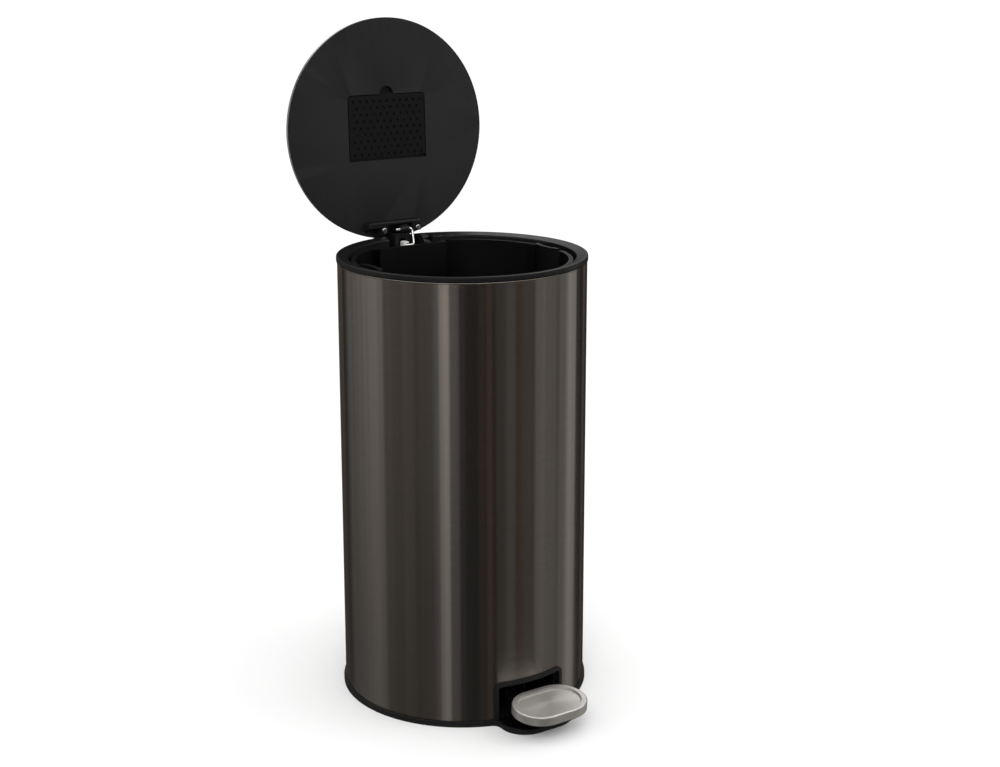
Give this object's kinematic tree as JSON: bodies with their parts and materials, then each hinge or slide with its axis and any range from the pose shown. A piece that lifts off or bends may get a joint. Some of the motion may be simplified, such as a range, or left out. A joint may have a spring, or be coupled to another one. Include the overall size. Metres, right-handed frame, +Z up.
{
  "type": "pedal trash can",
  "caption": "Tall round pedal bin with a brushed dark steel shell, black plastic base and collar, lift-out inner bucket and an open disc lid with a perforated filter cover.",
  "frame": {"origin": "on the floor, at the axis of the round body", "axes": "+Z up; the pedal faces -Y and the lid hinge is at +Y; +X is to the right seen from the pedal"},
  "size_m": [0.2946, 0.3948, 0.7873],
  "materials": {
    "black_plastic": "moulded black polypropylene, fine satin grain",
    "lid_plastic": "moulded black polypropylene, fine matte grain",
    "bucket_plastic": "moulded black polypropylene, semi-matte",
    "dark_steel": "dark titanium-tone stainless steel, brushed round the body",
    "lid_steel": "brushed stainless steel",
    "satin_steel": "satin stainless steel",
    "zinc_steel": "bright zinc-plated steel",
    "white_plastic": "natural white acetal",
    "black_steel": "steel with a black electrophoretic coating",
    "cover_plastic": "moulded black polypropylene, perforated, matte",
    "rubber": "soft black rubber",
    "carbon_felt": "charcoal-filled filter felt"
  },
  "bodies": {
    "body": {"base_ring": "black_plastic", "outer_shell": "dark_steel", "top_ring": "black_plastic", "pedal_bezel": "black_plastic", "bucket_platform": "black_plastic", "hinge_housing": "black_plastic", "hinge_pin": "zinc_steel", "housing_screws": "zinc_steel", "fulcrum_blocks": "black_plastic", "fulcrum_pin": "black_steel", "fulcrum_screws": "black_steel", "rod_guides": "black_plastic", "lever_bumper": "rubber"},
    "lid": {"lid_cap": "lid_steel", "lid_liner": "lid_plastic", "filter_pad": "carbon_felt", "lid_bracket": "black_plastic", "lid_screws": "zinc_steel", "link_bush": "black_plastic"},
    "filter_flap": {"filter_cover": "cover_plastic"},
    "link": {"wire_link": "zinc_steel"},
    "rod": {"push_rod": "zinc_steel", "rod_head": "white_plastic", "rod_foot": "white_plastic"},
    "pedal": {"pedal_plate": "satin_steel", "pedal_core": "black_plastic", "pedal_lever": "black_steel", "pedal_screws": "black_steel", "lever_tip": "white_plastic"},
    "bucket": {"inner_bucket": "bucket_plastic"}
  },
  "joints": [
    {"name": "lid_hinge", "type": "hinge", "parent": "body", "child": "lid", "pos_m": [0.003, 0.1474, 0.506], "axis": [-1, 0, 0], "range_deg": [-92, 0]},
    {"name": "pedal_fulcrum", "type": "hinge", "parent": "body", "child": "pedal", "pos_m": [0, -0.07, 0.022], "axis": [1, 0, 0], "range_deg": [-5.45, 0]},
    {"name": "rod_slide", "type": "slide", "parent": "body", "child": "rod", "axis": [0, 0, 1], "range_m": [-0.0195, 0]},
    {"name": "link_pivot", "type": "hinge", "parent": "lid", "child": "link", "pos_m": [0.009, 0.147, 0.531], "axis": [1, 0, 0], "range_deg": [-15.6, 0]},
    {"name": "filter_flap_hinge", "type": "hinge", "parent": "lid", "child": "filter_flap", "pos_m": [0, 0.17009, 0.62008], "axis": [1, 0, 0], "range_deg": [0, 150]},
    {"name": "bucket_lift", "type": "slide", "parent": "body", "child": "bucket", "axis": [0, 0, 1], "range_m": [0, 0.5]}
  ],
  "couplings": [
    {"joint": "pedal_fulcrum", "follows": "lid_hinge", "ratio": 0.059239},
    {"joint": "rod_slide", "follows": "lid_hinge", "m_per_rad": 0.012144},
    {"joint": "link_pivot", "follows": "lid_hinge", "ratio": 0.16956}
  ]
}
